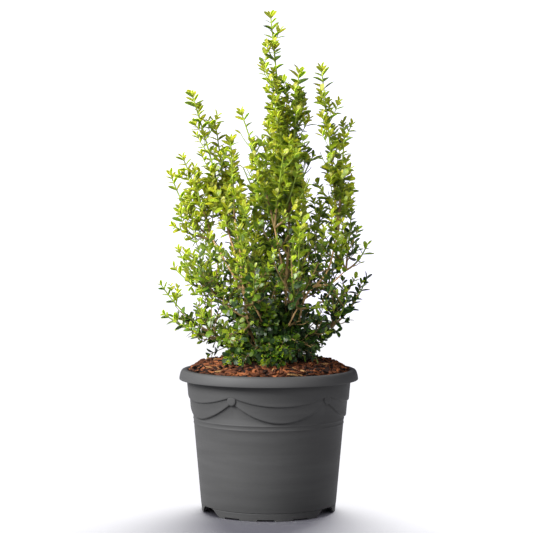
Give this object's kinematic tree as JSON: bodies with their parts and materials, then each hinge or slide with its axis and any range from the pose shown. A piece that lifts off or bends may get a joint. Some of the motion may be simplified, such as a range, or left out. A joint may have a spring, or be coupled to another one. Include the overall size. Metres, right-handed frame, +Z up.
{
  "type": "potted boxwood shrub",
  "caption": "Loose upright boxwood shrub with several stems and small oval leaves, growing in a round grey nursery pot with a rolled rim and draped relief, mulched with bark.",
  "frame": {"origin": "on the ground at the centre of the pot's flat underside", "axes": "+Z up through the pot's axis, -Y toward the front as pictured, +X to the front's right"},
  "size_m": [0.3396, 0.3114, 0.781],
  "materials": {
    "container_plastic": "satin grey moulded plastic with a fine grain",
    "potting_mix": "dark peaty mix, rough",
    "bark_chips": "reddish brown bark chips, rough",
    "boxwood_bark": "pale tan young bark, finely fissured",
    "boxwood_leaves": "smooth leathery leaves, yellow green when young and dark green when old"
  },
  "bodies": {
    "root": {"pot": "container_plastic", "potting_mix": "potting_mix", "bark_mulch": "bark_chips", "trunk": "boxwood_bark", "bough_centre": "boxwood_bark", "bough_left": "boxwood_bark", "bough_right": "boxwood_bark", "bough_front": "boxwood_bark", "bough_back": "boxwood_bark", "bough_left_inner": "boxwood_bark", "bough_left_shoulder": "boxwood_bark", "bough_left_flank": "boxwood_bark", "bough_left_skirt": "boxwood_bark", "bough_front_right": "boxwood_bark", "bough_back_right": "boxwood_bark", "bough_front_upper": "boxwood_bark", "bough_back_upper": "boxwood_bark", "bough_right_flank": "boxwood_bark", "bough_right_skirt": "boxwood_bark", "foliage_top": "boxwood_leaves", "foliage_left_leader": "boxwood_leaves", "foliage_right_leader": "boxwood_leaves", "foliage_front_upper": "boxwood_leaves", "foliage_back_upper": "boxwood_leaves", "foliage_left_inner": "boxwood_leaves", "foliage_left_shoulder": "boxwood_leaves", "foliage_left_flank": "boxwood_leaves", "foliage_left_skirt": "boxwood_leaves", "foliage_right_flank": "boxwood_leaves", "foliage_right_skirt": "boxwood_leaves", "foliage_front_left": "boxwood_leaves", "foliage_front_right": "boxwood_leaves", "foliage_back_left": "boxwood_leaves", "foliage_back_right": "boxwood_leaves"}
  },
  "joints": []
}
